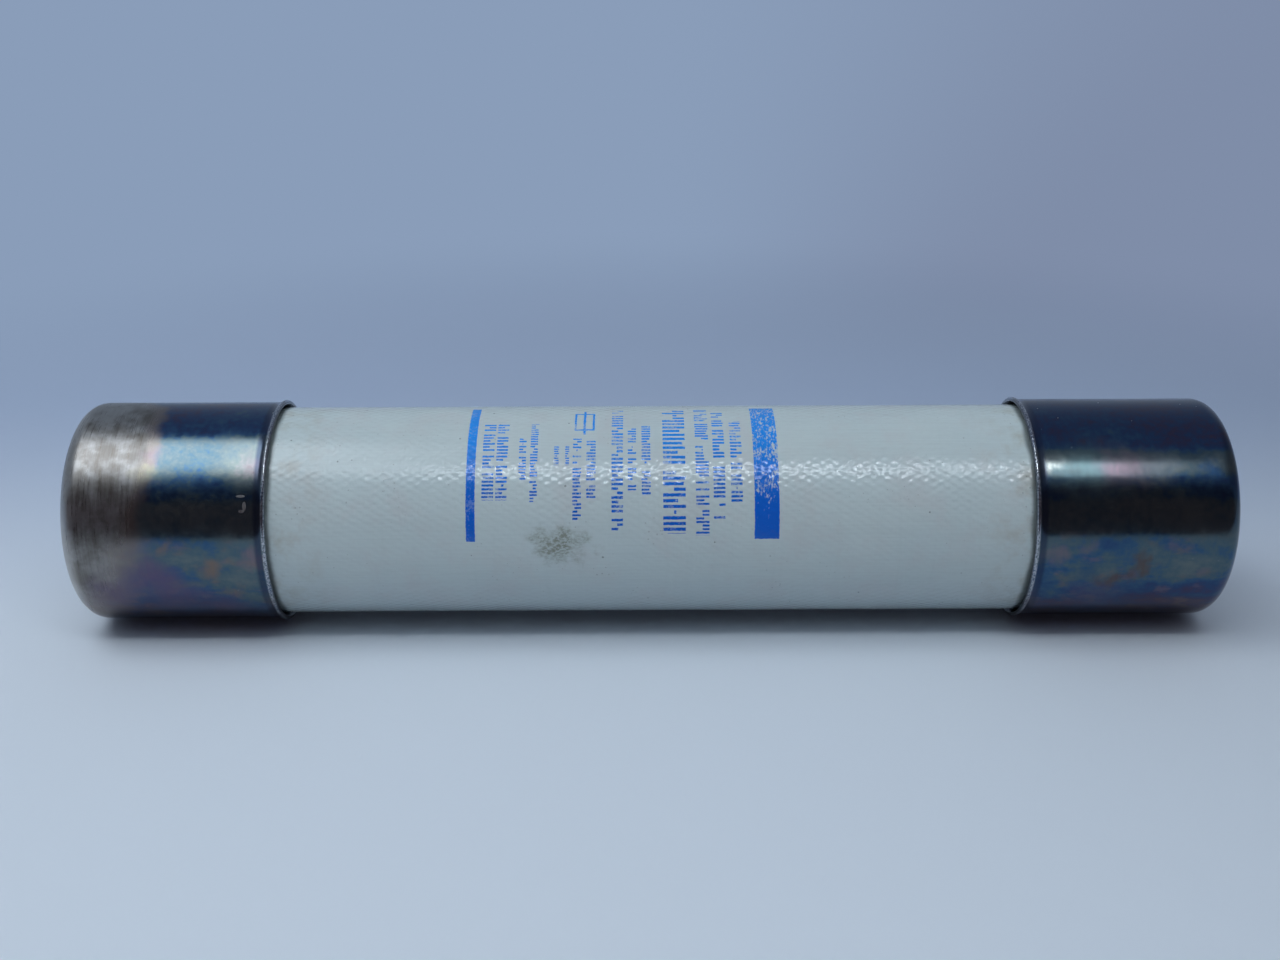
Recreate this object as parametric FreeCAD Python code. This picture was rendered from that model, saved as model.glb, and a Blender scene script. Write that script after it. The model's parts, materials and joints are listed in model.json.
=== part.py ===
# Current-limiting fuse for medium voltage, of the kind that clips in by two round ferrules.
# The fuse lies along X, with its origin at the middle of its axis. All sizes are in millimetres.
# A glass-cloth tube is closed by a brass end plate at each end, and each end is capped by a drawn
# ferrule with a flared lip. Inside, notched silver ribbons are wound on a star-shaped ceramic core
# between two hexagonal terminals, and quartz sand fills the rest. A blown-fuse indicator sits in
# the right-hand end: a fine wire holds its pin back, and a spring drives the pin out when it melts.
import FreeCAD
import Part
import math
import os

# Ferrules: drawn cups that the fuse clips grip
overall_length = 393.0
ferrule_diameter = 76.2
ferrule_length = 69.5
ferrule_wall = 1.6
ferrule_corner_radius = 6.4
lip_rise = 0.9
lip_angle = 33.0

# Tube
bond_gap = 0.3
tube_wall = 5.0

# End plates, which plug the tube, and the gaskets between them and the tube's ends
plate_edge_chamfer = 4.9
plate_land = 0.6
spigot_length = 6.0
spigot_fit = 0.15
gasket_thickness = 1.0

# Winding: a hexagon that the ribbons follow, and the ribbons themselves
winding_radius = 21.0
element_count = 3
element_turns = 4
element_width = 6.0
element_thickness = 0.3
weld_lap = 12.0
notches_per_flat = 2
notch_depth = 2.0
notch_half_width = 1.2
overlay_length = 5.0
overlay_thickness = 0.5

# Terminals: hexagonal cups that the ribbon ends are welded to, each brazed in by its hub
terminal_plate = 3.0
terminal_skirt = 25.0
terminal_wall = 1.5
hub_wall = 1.5
hub_fit = 0.05

# Core: a ceramic star with a toothed edge on each fin
fin_thickness = 3.0
hub_radius = 6.0
core_bore = 3.0
core_overlap = 8.0
core_clearance = 0.3
tooth_height = 1.2
groove_clearance = 0.3

# Sand, and the plug of the hole that it is poured through
sand_clearance = 0.15
fill_hole_diameter = 7.0
plug_clearance = 0.05

# Blown-fuse indicator
indicator_travel = 10.0
pin_head_diameter = 8.0
pin_head_clearance = 0.2
pin_recess = 0.3
collar_diameter = 9.6
collar_thickness = 1.5
collar_clearance = 0.2
stop_gap = 0.2
pin_tail_diameter = 4.0
pin_tail_length = 6.0
housing_wall = 1.0
housing_floor = 1.5
housing_flange_width = 3.0
housing_flange_thickness = 1.5
housing_clearance = 0.15
spring_length = 10.0
spring_coils = 6
spring_wire = 0.8
spring_clearance = 0.2
trip_wire_diameter = 0.6
trip_wire_clearance = 0.3
socket_depth = 4.0
socket_gap = 0.5
anchor_diameter = 4.0
anchor_length = 4.5
anchor_fit = 0.05

# A hexagon: its corners carry the six fins, and the ribbons lie on its flats. The steps below
# are how many straight ones stand for a bend, or for one coil of the spring.
SIDES = 6
HALF_SIDE_ANGLE = math.pi / SIDES
SPRING_STEPS = 8
CORNER_STEPS = 4
INNER_CORNER_STEPS = 2
FLARE_STEPS = 2

# Places along the axis, on the right-hand side. The left-hand side is the same, turned about Z.
end_face = overall_length / 2
ferrule_inner_face = end_face - ferrule_wall
ferrule_radius = ferrule_diameter / 2
ferrule_inner_radius = ferrule_radius - ferrule_wall
ferrule_inner_corner = ferrule_corner_radius - ferrule_wall
tube_radius = ferrule_inner_radius - bond_gap
bore_radius = tube_radius - tube_wall
flange_face = ferrule_inner_face - plate_edge_chamfer - plate_land
tube_end = flange_face - gasket_thickness
spigot_end = tube_end - spigot_length
spigot_radius = bore_radius - spigot_fit
terminal_inner_face = spigot_end - terminal_plate
terminal_mouth = terminal_inner_face - terminal_skirt
core_end = terminal_mouth + core_overlap
core_shoulder = terminal_mouth - core_clearance

# The winding
winding_apothem = winding_radius * math.cos(HALF_SIDE_ANGLE)
flat_width = 2 * winding_radius * math.sin(HALF_SIDE_ANGLE)
element_flats = element_turns * SIDES
element_start = -(terminal_mouth + weld_lap)
rise_per_flat = -2 * element_start / element_flats
element_angle = math.atan2(rise_per_flat, flat_width)
tooth_radius = winding_radius + tooth_height
skirt_inner_radius = winding_radius - terminal_wall / math.cos(HALF_SIDE_ANGLE)

# The indicator, from the stop at the ferrule's inner face inwards
collar_face = ferrule_inner_face - stop_gap - indicator_travel
collar_back = collar_face - collar_thickness
housing_floor_face = collar_back - spring_length
housing_end = housing_floor_face - housing_floor
housing_bore_radius = collar_diameter / 2 + collar_clearance
housing_radius = housing_bore_radius + housing_wall
housing_flange_radius = housing_radius + housing_flange_width
housing_step = ferrule_inner_face - housing_flange_thickness - housing_clearance
terminal_hub_radius = housing_radius + housing_clearance + hub_wall
pin_hole_radius = pin_head_diameter / 2 + pin_head_clearance
trip_wire_hole_radius = trip_wire_diameter / 2 + trip_wire_clearance
pin_tail_end = collar_back - pin_tail_length


def at(x, radius, angle=0.0):
    """A point at a place along the axis, a radius and an angle round the axis from Y."""
    return FreeCAD.Vector(x, radius * math.cos(angle), radius * math.sin(angle))


def turned(outline):
    """Turns a closed outline of points (x, radius) about X."""
    points = [at(x, radius) for x, radius in outline]
    face = Part.Face(Part.makePolygon(points + points[:1]))
    return face.revolve(FreeCAD.Vector(), FreeCAD.Vector(1, 0, 0), 360)


def rod(start, end, radius, distance=0.0, angle=0.0):
    """A cylinder along X from start to end, with its axis at a distance and angle from X."""
    return Part.makeCylinder(radius, end - start, at(start, distance, angle), FreeCAD.Vector(1, 0, 0))


def hexagonal(start, end, corner_radius):
    """A hexagonal bar along X, with a corner towards Y."""
    corners = [at(start, corner_radius, 2 * HALF_SIDE_ANGLE * k) for k in range(SIDES + 1)]
    return Part.Face(Part.makePolygon(corners)).extrude(FreeCAD.Vector(end - start, 0, 0))


def corner_of(apothem):
    """The corner radius of a hexagon with its flats at this distance from the axis."""
    return apothem / math.cos(HALF_SIDE_ANGLE)


def to_left(shape):
    """Turns a right-hand piece about Z to the left-hand end."""
    turned_round = shape.copy()
    turned_round.rotate(FreeCAD.Vector(), FreeCAD.Vector(0, 0, 1), 180)
    return turned_round


def bend(x, radius, size, start, end, steps):
    """Points on an arc of this size round a centre (x, radius), from one angle to another, in so
    many straight steps. An angle is measured from +X towards the outside."""
    angles = [math.radians(start + (end - start) * k / steps) for k in range(steps + 1)]
    return [(x + size * math.cos(a), radius + size * math.sin(a)) for a in angles]


def ferrule(hole_radius):
    """The right-hand ferrule: a cup with a rounded closed end and a lip that flares outwards. Its
    wall has the same thickness all round, so its inner bends have the same centres."""
    flare_radius = lip_rise / (1 - math.cos(math.radians(lip_angle)))
    inner_flare = flare_radius + ferrule_wall
    lip_start = end_face - ferrule_length + inner_flare * math.sin(math.radians(lip_angle))
    flare_centre = ferrule_radius + flare_radius
    corner_x = end_face - ferrule_corner_radius
    corner_r = ferrule_radius - ferrule_corner_radius
    return turned([
        (end_face, hole_radius),
        *bend(corner_x, corner_r, ferrule_corner_radius, 0, 90, CORNER_STEPS),
        *bend(lip_start, flare_centre, flare_radius, -90, -90 - lip_angle, FLARE_STEPS),
        *bend(lip_start, flare_centre, inner_flare, -90 - lip_angle, -90, FLARE_STEPS),
        *bend(corner_x, corner_r, ferrule_inner_corner, 90, 0, INNER_CORNER_STEPS),
        (ferrule_inner_face, hole_radius),
    ])


def fuse_tube():
    """The glass-cloth tube."""
    return rod(-tube_end, tube_end, tube_radius).cut(rod(-tube_end, tube_end, bore_radius))


def gasket():
    """The right-hand gasket, which the end plate's flange presses on the end of the tube."""
    return rod(tube_end, flange_face, tube_radius).cut(rod(tube_end, flange_face, bore_radius))


def end_plate():
    """The right-hand end plate without its holes: a spigot in the tube's bore and a flange whose
    chamfered edge clears the ferrule's rounded corner."""
    return turned([
        (ferrule_inner_face, 0),
        (ferrule_inner_face, tube_radius - plate_edge_chamfer),
        (ferrule_inner_face - plate_edge_chamfer, tube_radius),
        (flange_face, tube_radius),
        (flange_face, spigot_radius),
        (spigot_end, spigot_radius),
        (spigot_end, 0),
    ])


def sand_hole(clearance):
    """The sand hole, or the plug that fills it, through the top of the left-hand end plate. It is
    half-way between the terminal's top flat and the edge of the spigot."""
    radius = fill_hole_diameter / 2 - clearance
    distance = (winding_apothem + spigot_radius) / 2
    return rod(spigot_end, ferrule_inner_face, radius, distance, math.pi / 2)


def left_end_plate():
    """This plate has the sand hole."""
    hub_hole = rod(spigot_end, ferrule_inner_face, terminal_hub_radius + hub_fit)
    return to_left(end_plate().cut([hub_hole, sand_hole(0)]))


def right_end_plate():
    """This plate has a step round its middle hole, for the flange of the indicator's housing."""
    hub_hole = rod(spigot_end, ferrule_inner_face, terminal_hub_radius + hub_fit)
    step = rod(housing_step, ferrule_inner_face, housing_flange_radius + housing_clearance)
    return end_plate().cut([hub_hole, step])


def terminal(hub_end, bore):
    """The right-hand terminal: a hexagonal cup with its plate against the end plate, and a hub
    that stands in the end plate's middle hole."""
    cup = hexagonal(terminal_mouth, spigot_end, winding_radius)
    hub = rod(spigot_end, hub_end, terminal_hub_radius)
    hollow = hexagonal(terminal_mouth, terminal_inner_face, skirt_inner_radius)
    return cup.fuse(hub).cut([hollow, rod(terminal_inner_face, hub_end, bore)])


def first_corner(element):
    """The corner of the hexagon that a ribbon starts from."""
    return element * SIDES // element_count


def crossings(fin_index):
    """The places along the axis where a ribbon is folded over a fin."""
    return [
        element_start + step * rise_per_flat
        for element in range(element_count)
        for step in range(element_flats + 1)
        if (first_corner(element) + step) % SIDES == fin_index
    ]


def fin(index):
    """One fin of the core: between the terminals it stands up as a row of teeth, and the ribbons
    cross it in the grooves."""
    half_groove = element_width / math.cos(element_angle) / 2
    half_groove += fin_thickness / 2 * math.tan(element_angle) + groove_clearance
    corner_drop = fin_thickness / 2 * math.tan(HALF_SIDE_ANGLE)
    groove_floor = winding_radius - corner_drop
    end_radius = skirt_inner_radius - corner_drop - core_clearance
    half_fin = fin_thickness / 2
    blank = Part.makeBox(2 * core_end, end_radius, fin_thickness,
                         FreeCAD.Vector(-core_end, 0, -half_fin))
    row = Part.makeBox(2 * core_shoulder, tooth_radius, fin_thickness,
                       FreeCAD.Vector(-core_shoulder, 0, -half_fin))
    grooves = [
        Part.makeBox(2 * half_groove, tooth_height + corner_drop, fin_thickness,
                     FreeCAD.Vector(place - half_groove, groove_floor, -half_fin))
        for place in crossings(index)
    ]
    comb = blank.fuse(row).cut(grooves)
    comb.rotate(FreeCAD.Vector(), FreeCAD.Vector(1, 0, 0), index * 360 / SIDES)
    return comb


def core():
    """The ceramic star: a bored hub with six toothed fins."""
    hub = rod(-core_end, core_end, hub_radius)
    star = hub.fuse([fin(index) for index in range(SIDES)])
    return star.cut(rod(-core_end, core_end, core_bore / 2)).removeSplitter()


def flat_angle(element, step):
    """The angle of the middle of the flat that a ribbon lies on, so many flats from its start."""
    return (2 * (first_corner(element) + step) + 1) * HALF_SIDE_ANGLE


def flat_outline(middle):
    """One edge of a ribbon on a flat, as points (u, x) with its notches cut in, and the other edge.
    u runs across the flat from its middle, and x along the axis."""
    length = flat_width / math.cos(element_angle)
    pitch = length / notches_per_flat
    edges = []
    for side in (1, -1):
        edge = []
        for notch in range(notches_per_flat):
            centre = (notch - (notches_per_flat - 1) / 2) * pitch
            for along, across in (
                (centre - notch_half_width, element_width / 2),
                (centre, element_width / 2 - notch_depth),
                (centre + notch_half_width, element_width / 2),
            ):
                u = along * math.cos(element_angle) - side * across * math.sin(element_angle)
                x = along * math.sin(element_angle) + side * across * math.cos(element_angle)
                edge.append((u, middle + x))
        edges.append(edge)
    return edges


def on_flat(angle, apothem, u, x):
    """A point on a flat of the winding, whose middle is at this angle and distance from the axis."""
    return FreeCAD.Vector(
        x,
        apothem * math.cos(angle) - u * math.sin(angle),
        apothem * math.sin(angle) + u * math.cos(angle),
    )


def polygon_face(points):
    return Part.Face(Part.makePolygon(points + points[:1]))


def fuse_element(index):
    """One silver ribbon: a strip with pairs of notches, folded round the corners of the hexagon.
    Its faces are built flat by flat, from the inner and the outer side of the strip."""
    half_width = element_width / math.cos(element_angle) / 2
    faces = []
    for step in range(element_flats):
        angle = flat_angle(index, step)
        start = element_start + step * rise_per_flat
        edges = flat_outline(start + rise_per_flat / 2)
        sides = []
        for apothem in (winding_apothem, winding_apothem + element_thickness):
            reach = apothem * math.tan(HALF_SIDE_ANGLE)
            rows = [
                [(-reach, start + sign * half_width)] + edge
                + [(reach, start + rise_per_flat + sign * half_width)]
                for sign, edge in zip((1, -1), edges)
            ]
            sides.append([[on_flat(angle, apothem, u, x) for u, x in row] for row in rows])
        inner, outer = sides
        faces += [polygon_face(side[0] + side[1][::-1]) for side in sides]
        for low, high in zip(inner, outer):
            last = len(low) - 2
            for k in range(last + 1):
                # The wall bends where the strip is folded, so there it is two triangles
                if k in (0, last):
                    faces.append(polygon_face([low[k], low[k + 1], high[k + 1]]))
                    faces.append(polygon_face([low[k], high[k + 1], high[k]]))
                else:
                    faces.append(polygon_face([low[k], low[k + 1], high[k + 1], high[k]]))
        if step == 0:
            faces.append(polygon_face([inner[0][0], outer[0][0], outer[1][0], inner[1][0]]))
        if step == element_flats - 1:
            faces.append(polygon_face([inner[0][-1], outer[0][-1], outer[1][-1], inner[1][-1]]))
    shell = Part.makeShell(faces)
    shell.sewShape()
    strip = Part.makeSolid(shell)
    if strip.Volume < 0:
        strip.reverse()
    return strip


def alloy_overlay(index):
    """The low-melting alloy on a ribbon, on the flat after its middle, between two notches."""
    step = element_flats // 2
    angle = flat_angle(index, step)
    middle = element_start + (step + 0.5) * rise_per_flat
    seat = winding_apothem + element_thickness
    corners = []
    for along, across in ((-1, -1), (1, -1), (1, 1), (-1, 1), (-1, -1)):
        s = along * overlay_length / 2
        v = across * element_width / 2
        u = s * math.cos(element_angle) - v * math.sin(element_angle)
        x = s * math.sin(element_angle) + v * math.cos(element_angle)
        corners.append(on_flat(angle, seat, u, middle + x))
    return Part.Face(Part.makePolygon(corners)).extrude(at(0, overlay_thickness, angle))


def sand_inner():
    """The sand between the fins: six bars under the ribbons, from one terminal to the other."""
    bars = hexagonal(-core_shoulder, core_shoulder, corner_of(winding_apothem - sand_clearance))
    cutters = [rod(-core_end, core_end, hub_radius + sand_clearance)]
    width = fin_thickness + 2 * sand_clearance
    for index in range(SIDES):
        slab = Part.makeBox(
            2 * core_end, winding_radius, width, FreeCAD.Vector(-core_end, 0, -width / 2)
        )
        slab.rotate(FreeCAD.Vector(), FreeCAD.Vector(1, 0, 0), index * 360 / SIDES)
        cutters.append(slab)
    return bars.cut(cutters)


def sand_outer():
    """The sand round the winding, from one end plate to the other."""
    corner_drop = fin_thickness / 2 * math.tan(HALF_SIDE_ANGLE)
    hollow_radius = tooth_radius + corner_drop + sand_clearance
    end = spigot_end - sand_clearance
    return rod(-end, end, bore_radius - sand_clearance).cut(hexagonal(-end, end, hollow_radius))


def indicator_housing():
    """The barrel of the indicator: flanged at its mouth, with a floor that the spring stands on."""
    flange_inner = ferrule_inner_face - housing_flange_thickness
    return turned([
        (housing_end, trip_wire_hole_radius),
        (housing_end, housing_radius),
        (flange_inner, housing_radius),
        (flange_inner, housing_flange_radius),
        (ferrule_inner_face, housing_flange_radius),
        (ferrule_inner_face, housing_bore_radius),
        (housing_floor_face, housing_bore_radius),
        (housing_floor_face, trip_wire_hole_radius),
    ])


def indicator_pin():
    """The pin: a head that shows in the ferrule, a collar that stops it, and a tail in the spring."""
    head_face = end_face - pin_recess
    head_radius = pin_head_diameter / 2
    return turned([
        (head_face, 0),
        (head_face, head_radius),
        (collar_face, head_radius),
        (collar_face, collar_diameter / 2),
        (collar_back, collar_diameter / 2),
        (collar_back, pin_tail_diameter / 2),
        (pin_tail_end, pin_tail_diameter / 2),
        (pin_tail_end, trip_wire_hole_radius),
        (pin_tail_end + socket_depth, trip_wire_hole_radius),
        (pin_tail_end + socket_depth, 0),
    ])


def indicator_spring():
    """The coil spring, pressed between the housing's floor and the collar. Its wire is square, and
    it is drawn through sections that step round the coil."""
    outer = housing_bore_radius - spring_clearance
    middle = outer - spring_wire / 2
    half = spring_wire / 2
    start = housing_floor_face + spring_clearance + half
    travel = spring_length - 2 * (spring_clearance + half)
    sections = []
    for step in range(spring_coils * SPRING_STEPS + 1):
        angle = 2 * math.pi * step / SPRING_STEPS
        x = start + travel * step / (spring_coils * SPRING_STEPS)
        sections.append(Part.makePolygon([
            at(x + side * half, middle + out * half, angle)
            for side, out in ((-1, -1), (1, -1), (1, 1), (-1, 1), (-1, -1))
        ]))
    return Part.makeLoft(sections, True, True)


def wire_anchor():
    """The bush that holds the trip wire in the middle of the left-hand terminal."""
    bush = rod(spigot_end - anchor_length, spigot_end, anchor_diameter / 2)
    wire_hole = rod(spigot_end - anchor_length, spigot_end, trip_wire_diameter / 2 + anchor_fit)
    return to_left(bush.cut(wire_hole))


def trip_wire():
    """The fine wire along the core's bore, from its anchor into the socket in the pin's tail."""
    return rod(-spigot_end, pin_tail_end + socket_depth - socket_gap, trip_wire_diameter / 2)


pieces = {
    "fuse_tube": fuse_tube(),
    "left_ferrule": to_left(ferrule(0)),
    "right_ferrule": ferrule(pin_hole_radius),
    "left_end_plate": left_end_plate(),
    "right_end_plate": right_end_plate(),
    "tube_gaskets": Part.makeCompound([to_left(gasket()), gasket()]),
    "left_terminal": to_left(terminal(ferrule_inner_face, anchor_diameter / 2 + anchor_fit)),
    "right_terminal": terminal(housing_step, housing_radius + housing_clearance),
    "core": core(),
    "sand_inner": sand_inner(),
    "sand_outer": sand_outer(),
    "sand_plug": to_left(sand_hole(plug_clearance)),
    "indicator_housing": indicator_housing(),
    "indicator_pin": indicator_pin(),
    "indicator_spring": indicator_spring(),
    "wire_anchor": wire_anchor(),
    "trip_wire": trip_wire(),
}
for number in range(element_count):
    pieces[f"fuse_element_{number + 1}"] = fuse_element(number)
    pieces[f"alloy_overlay_{number + 1}"] = alloy_overlay(number)

os.makedirs("parts", exist_ok=True)
for name, shape in pieces.items():
    shape.exportStep(f"parts/{name}.step")
    box = shape.BoundBox
    print(f"{name}: {len(shape.Solids)} solid(s), {shape.Volume:.1f} mm3, valid {shape.isValid()}, "
          f"x {box.XMin:.2f} to {box.XMax:.2f}, z {box.ZMin:.2f} to {box.ZMax:.2f}")
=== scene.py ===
# %% [markdown]
# # A current-limiting fuse
#
# The real object is a glass-cloth tube between two drawn metal ferrules, about 39 cm long. Its
# working parts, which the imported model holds, are shut in with sand. This lesson dresses that
# model: the pieces that show are made again as finer surfaces, and every piece gets a finish
# that is worked out from its own coordinates.
#
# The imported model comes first. It is in metres, its axis is X, and nothing in it is moved.

import json
import math
from types import SimpleNamespace

import bpy
import numpy as np
from mathutils import Matrix, Vector


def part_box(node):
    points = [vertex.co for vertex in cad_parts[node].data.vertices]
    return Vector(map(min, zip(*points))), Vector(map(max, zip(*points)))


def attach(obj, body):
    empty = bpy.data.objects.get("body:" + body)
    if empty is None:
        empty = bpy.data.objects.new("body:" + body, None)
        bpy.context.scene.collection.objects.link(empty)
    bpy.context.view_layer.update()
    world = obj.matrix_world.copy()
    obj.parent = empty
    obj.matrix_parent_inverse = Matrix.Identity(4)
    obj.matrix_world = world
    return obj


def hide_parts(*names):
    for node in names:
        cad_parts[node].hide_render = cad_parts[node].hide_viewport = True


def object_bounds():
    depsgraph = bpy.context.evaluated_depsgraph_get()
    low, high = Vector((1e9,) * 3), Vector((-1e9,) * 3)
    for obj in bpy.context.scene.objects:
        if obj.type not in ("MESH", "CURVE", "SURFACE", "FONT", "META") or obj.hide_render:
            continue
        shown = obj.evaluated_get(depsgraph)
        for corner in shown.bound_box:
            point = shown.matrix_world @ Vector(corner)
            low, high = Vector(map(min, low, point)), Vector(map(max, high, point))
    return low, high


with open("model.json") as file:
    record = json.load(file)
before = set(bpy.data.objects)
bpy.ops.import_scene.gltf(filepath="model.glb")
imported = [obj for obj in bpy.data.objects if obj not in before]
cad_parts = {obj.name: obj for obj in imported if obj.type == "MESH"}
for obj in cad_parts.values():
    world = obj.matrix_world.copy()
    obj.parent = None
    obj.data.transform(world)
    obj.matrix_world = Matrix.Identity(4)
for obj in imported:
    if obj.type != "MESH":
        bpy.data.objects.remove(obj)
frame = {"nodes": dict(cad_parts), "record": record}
cad_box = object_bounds()
scene = bpy.context.scene
MM = 0.001
print("nodes:", ", ".join(sorted(frame["nodes"])))
print("box in mm:", [[round(v / MM, 1) for v in corner] for corner in cad_box])

# %% [markdown]
# ## Sizes
#
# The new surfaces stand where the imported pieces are, so their main sizes are read from the
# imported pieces' boxes, and only what a box can't tell, such as a corner's radius, is written.

# %% Sizes in millimetres
ferrule_wall = 1.6
ferrule_length = 69.5
corner_radius = 6.4
lip_rise = 0.9
lip_angle = 33.0
edge_ease = 0.35
tube_wall = 5.0
hole_clearance = 0.2

tube_high = np.array(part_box("fuse_tube")[1]) / MM
ferrule_high = np.array(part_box("right_ferrule")[1]) / MM
pin_low, pin_high = (np.array(corner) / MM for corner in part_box("indicator_pin"))
tube_end, tube_radius = tube_high[0], tube_high[2]
end_face = ferrule_high[0]
ferrule_radius = ferrule_high[2] - lip_rise
tube_degree, ferrule_degree = (math.pi / 180 * r for r in (tube_radius, ferrule_radius))
print(f"tube {2 * tube_end:.1f} long and {2 * tube_radius:.1f} across, "
      f"ferrules {2 * ferrule_radius:.1f} across")

# %% [markdown]
# ## Surfaces of revolution
#
# Tube, ferrules and pin were all turned or drawn round one axis. A cylinder with bevels could
# stand for them, but an outline that is turned about X gives every bend its true radius. An
# outline is a list of points (x, radius), put together from straight runs, arcs and eased
# corners.

# %% Runs, arcs and eased corners
# Lengths below this, in millimetres, count as none
tiny = 1e-6


def run(start, end, pitch):
    """Points on a line: (1 - t) times start plus t times end, a pitch apart."""
    start, end = np.array(start, float), np.array(end, float)
    count = max(1, round(np.linalg.norm(end - start) / pitch))
    t = np.linspace(0, 1, count + 1)[:, None]
    return (1 - t) * start + t * end


def arc(centre, radius, start, end, steps):
    """Points centre + radius times (cos t, sin t), with t in degrees from start to end."""
    t = np.radians(np.linspace(start, end, steps + 1))
    return np.array(centre) + radius * np.column_stack((np.cos(t), np.sin(t)))


def eased(before, corner, after, steps=4):
    """A rounded corner: (1 - t)^2 before + 2 t (1 - t) corner + t^2 after."""
    before, corner, after = (np.array(p, float) for p in (before, corner, after))
    t = np.linspace(0, 1, steps + 1)[:, None]
    return (1 - t) ** 2 * before + 2 * t * (1 - t) * corner + t ** 2 * after


def outline(*runs):
    """Joins runs end to end and drops the points that repeat."""
    points = np.vstack(runs)
    apart = np.linalg.norm(np.diff(points, axis=0), axis=1) > tiny
    return points[np.concatenate(([True], apart))]


# %% Turn an outline about X
segments = 240


def piece_of(name, places, faces):
    """A new piece from places in metres and faces as lists of corners."""
    mesh = bpy.data.meshes.new(name)
    mesh.from_pydata(places.tolist(), [], faces)
    piece = bpy.data.objects.new(name, mesh)
    scene.collection.objects.link(piece)
    return piece


def faces_of(rings, poles):
    """Quads between neighbouring rings, and triangles from each pole to the ring beside it."""
    i = np.arange(rings - 1 if poles else rings)[:, None]
    j = np.arange(segments)[None, :]
    next_i, next_j = (i + 1) % rings, (j + 1) % segments
    corners = (i * segments + j, i * segments + next_j,
               next_i * segments + next_j, next_i * segments + j)
    quads = np.stack(np.broadcast_arrays(*corners), axis=-1).reshape(-1, 4)
    if not poles:
        return quads, np.zeros((0, 3), int)
    first, last = rings * segments, rings * segments + 1
    near, far = j[0], next_j[0]
    end_ring = (rings - 1) * segments
    fans = np.vstack((
        np.column_stack((np.full(segments, first), far, near)),
        np.column_stack((np.full(segments, last), end_ring + near, end_ring + far)),
    ))
    return quads, fans


def volume_of(points, quads, fans):
    """A sixth of the sum of a . (b x c) over the triangles: above 0 if they face outwards."""
    triangles = np.vstack((quads[:, [0, 1, 2]], quads[:, [0, 2, 3]], fans))
    a, b, c = (points[triangles[:, k]] for k in range(3))
    return np.einsum("ij,ij->", a, np.cross(b, c)) / 6


def turned(name, points, unevenness=None):
    """Turns an outline about X: y = -r cos a and z = r sin a, with r less the unevenness. An
    outline that starts and ends on the axis gets a pole at each end; any other is a closed loop.
    """
    poles = points[0, 1] < tiny
    rings = points[1:-1] if poles else points
    angle = np.linspace(0, 2 * math.pi, segments, endpoint=False)
    x, a = np.broadcast_arrays(rings[:, :1], angle[None, :])
    r = np.broadcast_to(rings[:, 1:], x.shape)
    if unevenness is not None:
        r = r - unevenness(x, a) * (r / r.max()) ** 2
    places = np.stack((x, -r * np.cos(a), r * np.sin(a)), axis=-1).reshape(-1, 3)
    if poles:
        places = np.vstack((places, [points[0, 0], 0, 0], [points[-1, 0], 0, 0]))
    quads, fans = faces_of(len(rings), poles)
    volume = volume_of(places, quads, fans)
    if volume < 0:
        quads, fans = quads[:, ::-1], fans[:, ::-1]
    piece = piece_of(name, places * MM, quads.tolist() + fans.tolist())
    piece.data.polygons.foreach_set("use_smooth", np.ones(len(piece.data.polygons), bool))
    piece.data.set_sharp_from_angle(angle=math.radians(35))
    print(f"{name}: {len(places)} points, {abs(volume) / 1000:.1f} cm3")
    return piece


# %% [markdown]
# ## Unevenness
#
# Drawn brass and a wound tube are never quite round, and a gloss shows it: the edge of a lamp's
# reflection wanders. A few waves of different length, added together, push the surface inwards
# by about a tenth of a millimetre, so the outside sizes stay.

# %% Waves that push a surface in
def waves(depth, seed, lengths=(70, 41, 23), rounds=(2, 3, 5, 7)):
    """depth times (1 + the mean of sin(2 pi x / length + round a + phase)) / 2, which runs from
    0 to depth. The phases come from a seeded generator."""
    phases = np.random.default_rng(seed).uniform(0, 2 * math.pi, (len(lengths), len(rounds)))

    def push(x, a):
        total = np.zeros_like(x)
        for i, length in enumerate(lengths):
            for j, turns in enumerate(rounds):
                total = total + np.sin(2 * math.pi * x / length + turns * a + phases[i, j])
        return depth * (1 + total / phases.size) / 2

    return push


# %% [markdown]
# ## The ferrules
#
# Each ferrule is a drawn cup. Its closed end has a rounded corner, and its mouth flares over the
# tube in a short lip. The outline runs over the end face, corner, straight side and flare, and
# back along the inside at the wall's thickness. The lip's two edges are eased, so they catch a
# thin line of light. The right-hand one has a hole for the indicator.

# %% Ferrule outlines
def lip_runs():
    """The flare, out and back: its outside, its two eased edges and its inside. Both bends share a
    centre."""
    flare = lip_rise / (1 - math.cos(math.radians(lip_angle)))
    inner_flare = flare + ferrule_wall
    lip_x = end_face - ferrule_length + inner_flare * math.sin(math.radians(lip_angle))
    centre = (lip_x, ferrule_radius + flare)
    edge = -90 - lip_angle
    outer_tip = arc(centre, flare, edge, edge, 1)[0]
    inner_tip = arc(centre, inner_flare, edge, edge, 1)[0]
    along = (inner_tip - outer_tip) / ferrule_wall * edge_ease
    outside = arc(centre, flare, -90, edge + math.degrees(edge_ease / flare), 8)
    inside = arc(centre, inner_flare, edge + math.degrees(edge_ease / inner_flare), -90, 8)
    return (
        outside,
        eased(outside[-1], outer_tip, outer_tip + along),
        eased(inner_tip - along, inner_tip, inside[0]),
        inside,
    )


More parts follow.
